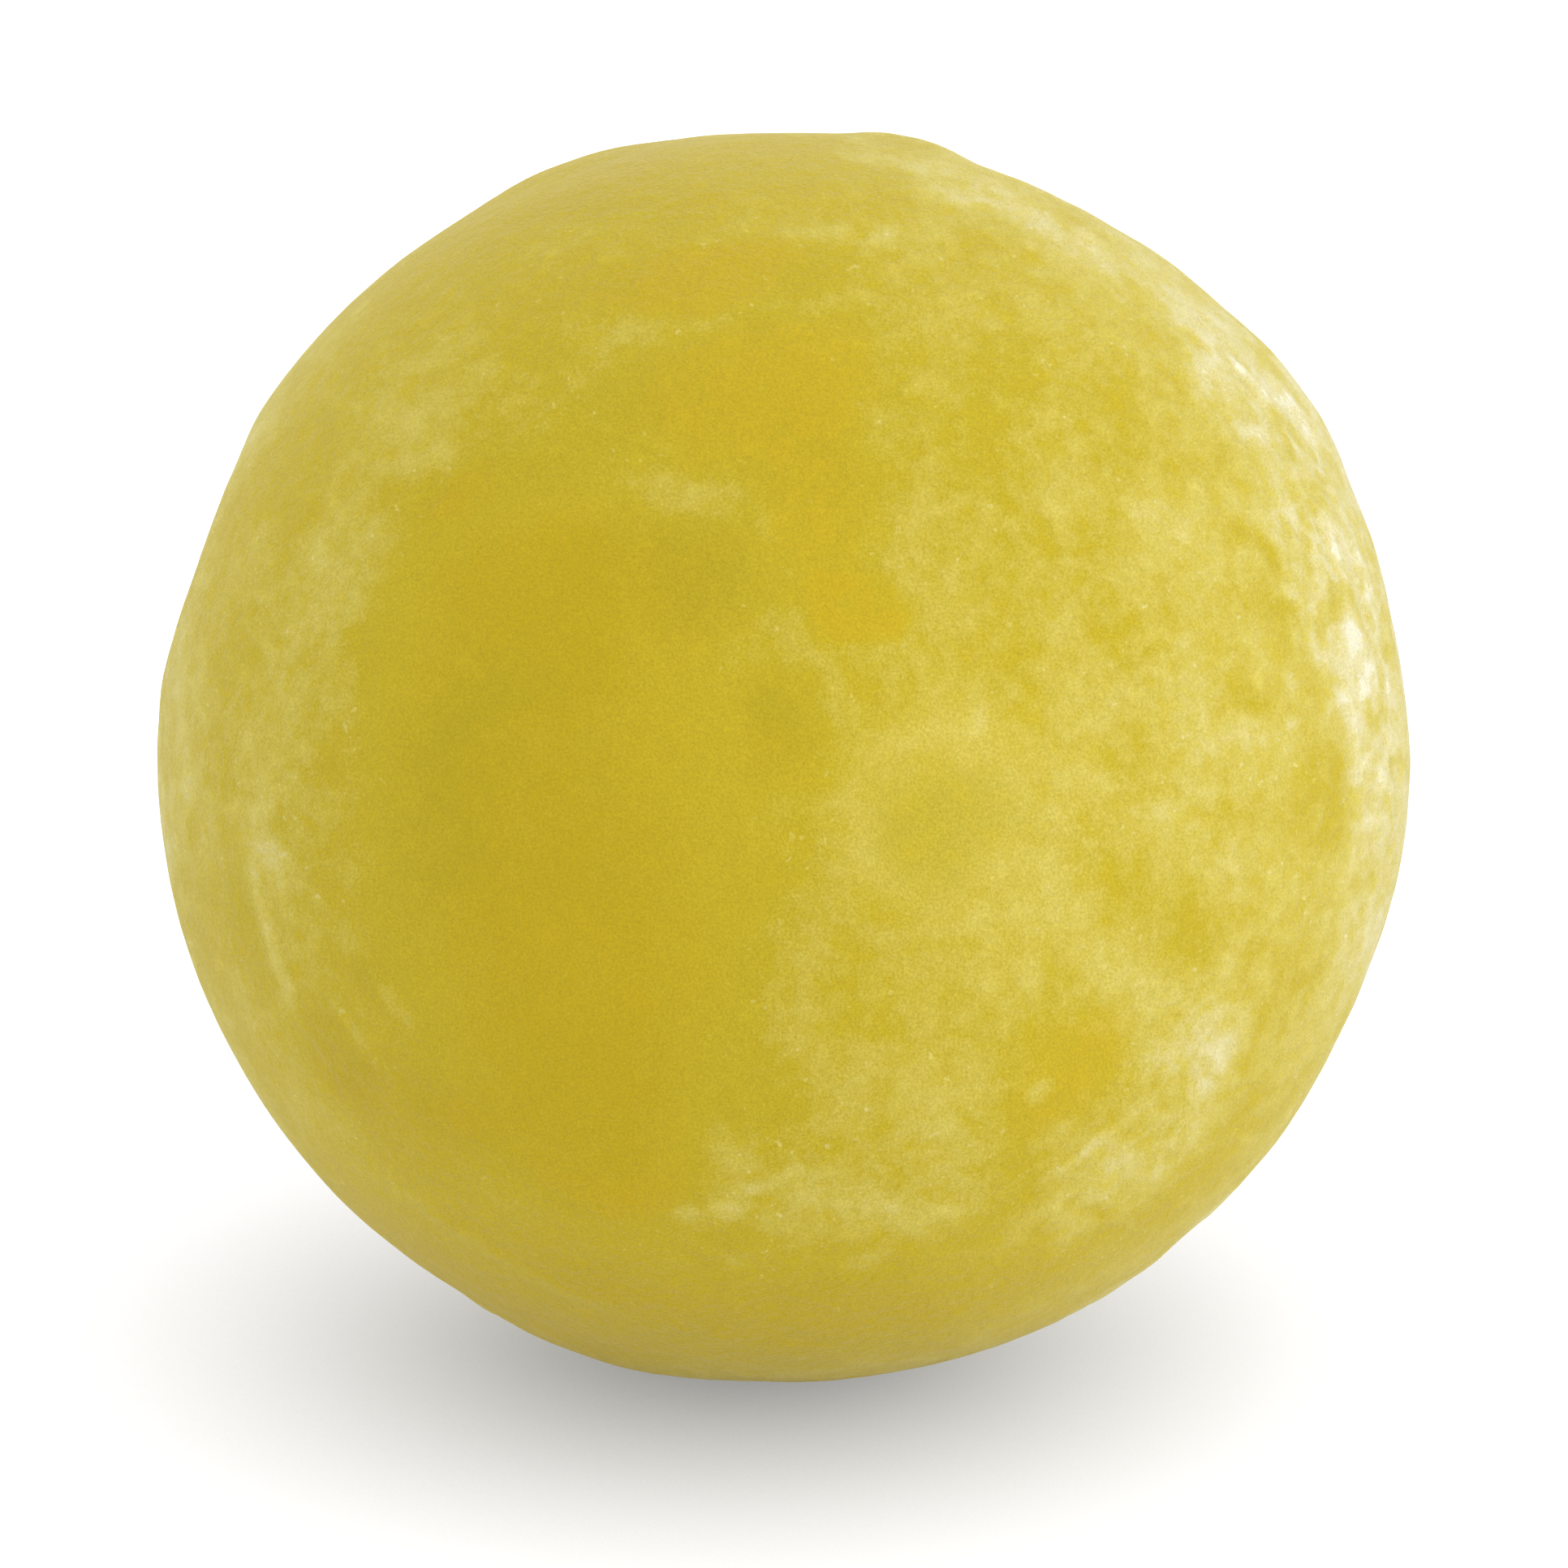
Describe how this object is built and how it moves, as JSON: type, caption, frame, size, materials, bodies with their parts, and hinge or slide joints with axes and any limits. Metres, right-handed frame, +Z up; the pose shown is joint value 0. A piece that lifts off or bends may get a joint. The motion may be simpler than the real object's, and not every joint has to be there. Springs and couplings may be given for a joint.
{
  "type": "detailing clay ball",
  "caption": "Lump of soft detailing clay hand-rolled into a ball, with a sagged flat foot, for lifting bonded grit off car paint.",
  "frame": {"origin": "on the surface the ball stands on, under the middle of its outline, in the plane of its flat foot", "axes": "+Z up, front (the side the picture shows) towards -Y, +X to the right seen from the front"},
  "size_m": [0.0522, 0.0512, 0.0514],
  "materials": {
    "yellow_clay": "soft translucent yellow putty with a waxy, mottled skin"
  },
  "bodies": {
    "root": {"clay_ball": "yellow_clay"}
  },
  "joints": []
}
